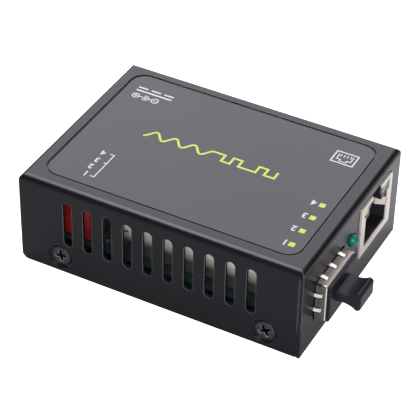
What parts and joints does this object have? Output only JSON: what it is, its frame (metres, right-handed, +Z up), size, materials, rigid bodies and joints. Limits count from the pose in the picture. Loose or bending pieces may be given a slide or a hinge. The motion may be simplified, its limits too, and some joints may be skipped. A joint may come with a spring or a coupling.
{
  "type": "fibre media converter",
  "caption": "Pocket-sized steel-cased network media converter with a caged fibre port closed by a rubber plug, a shielded copper jack, a status lamp, side vents and rear switches.",
  "frame": {"origin": "centre of the underside of the steel case, at the middle of its footprint", "axes": "+Z up through the printed top, -Y out of the front with the two ports, +X towards the copper jack's side"},
  "size_m": [0.05, 0.0788, 0.0235],
  "materials": {
    "black_coated_steel": "satin black powder coat",
    "overlay_film": "printed matt film",
    "black_screw": "black oxide steel",
    "nickel_sheet": "nickel-plated sheet",
    "spring_sheet": "bright spring sheet",
    "black_rubber": "moulded rubber",
    "black_moulding": "moulded plastic",
    "gold_contact": "gold-plated contact",
    "green_lens": "clear green resin",
    "amber_lens": "clear yellow-green resin",
    "board_laminate": "solder mask on laminate",
    "red_moulding": "moulded plastic",
    "white_moulding": "moulded plastic",
    "chip_resin": "moulded resin",
    "tinned_metal": "tinned legs and cans",
    "black_sleeve": "shrunk film sleeve",
    "ceramic": "small ceramic parts"
  },
  "bodies": {
    "chassis": {"housing_cover": "black_coated_steel", "base_plate": "black_coated_steel", "label_overlay": "overlay_film", "cover_screws": "black_screw", "board_screws": "tinned_metal", "board_standoffs": "tinned_metal", "circuit_board": "board_laminate", "fibre_cage": "nickel_sheet", "cage_spring_collar": "spring_sheet", "jack_shield": "nickel_sheet", "jack_housing": "black_moulding", "jack_lamp_left": "amber_lens", "jack_lamp_right": "green_lens", "jack_contacts": "gold_contact", "jack_legs": "tinned_metal", "power_socket_legs": "tinned_metal", "dip_switch_legs": "tinned_metal", "status_lamp": "green_lens", "lamp_leads": "tinned_metal", "power_socket_housing": "black_moulding", "power_socket_pin": "tinned_metal", "power_socket_leaf": "tinned_metal", "dip_switch_body": "red_moulding", "host_connector": "black_moulding", "host_contacts": "gold_contact", "converter_chip": "chip_resin", "memory_chip": "chip_resin", "voltage_regulator": "chip_resin", "crystal_can": "tinned_metal", "power_coil": "chip_resin", "filter_capacitors": "black_sleeve", "small_passives": "ceramic"},
    "dust_plug": {"dust_plug": "black_rubber"},
    "dip_lever_1": {"dip_lever_1": "white_moulding"},
    "dip_lever_2": {"dip_lever_2": "white_moulding"},
    "dip_lever_3": {"dip_lever_3": "white_moulding"},
    "dip_lever_4": {"dip_lever_4": "white_moulding"}
  },
  "joints": [
    {"name": "plug_pull", "type": "slide", "parent": "chassis", "child": "dust_plug", "axis": [0, -1, 0], "range_m": [0, 0.012]},
    {"name": "dip_lever_1_rock", "type": "hinge", "parent": "chassis", "child": "dip_lever_1", "pos_m": [-0.01821, 0.027, 0.0101], "axis": [1, 0, 0], "range_deg": [-18, 0]},
    {"name": "dip_lever_2_rock", "type": "hinge", "parent": "chassis", "child": "dip_lever_2", "pos_m": [-0.01567, 0.027, 0.0101], "axis": [1, 0, 0], "range_deg": [-18, 0]},
    {"name": "dip_lever_3_rock", "type": "hinge", "parent": "chassis", "child": "dip_lever_3", "pos_m": [-0.01313, 0.027, 0.0101], "axis": [1, 0, 0], "range_deg": [-18, 0]},
    {"name": "dip_lever_4_rock", "type": "hinge", "parent": "chassis", "child": "dip_lever_4", "pos_m": [-0.01059, 0.027, 0.0101], "axis": [1, 0, 0], "range_deg": [-18, 0]}
  ]
}
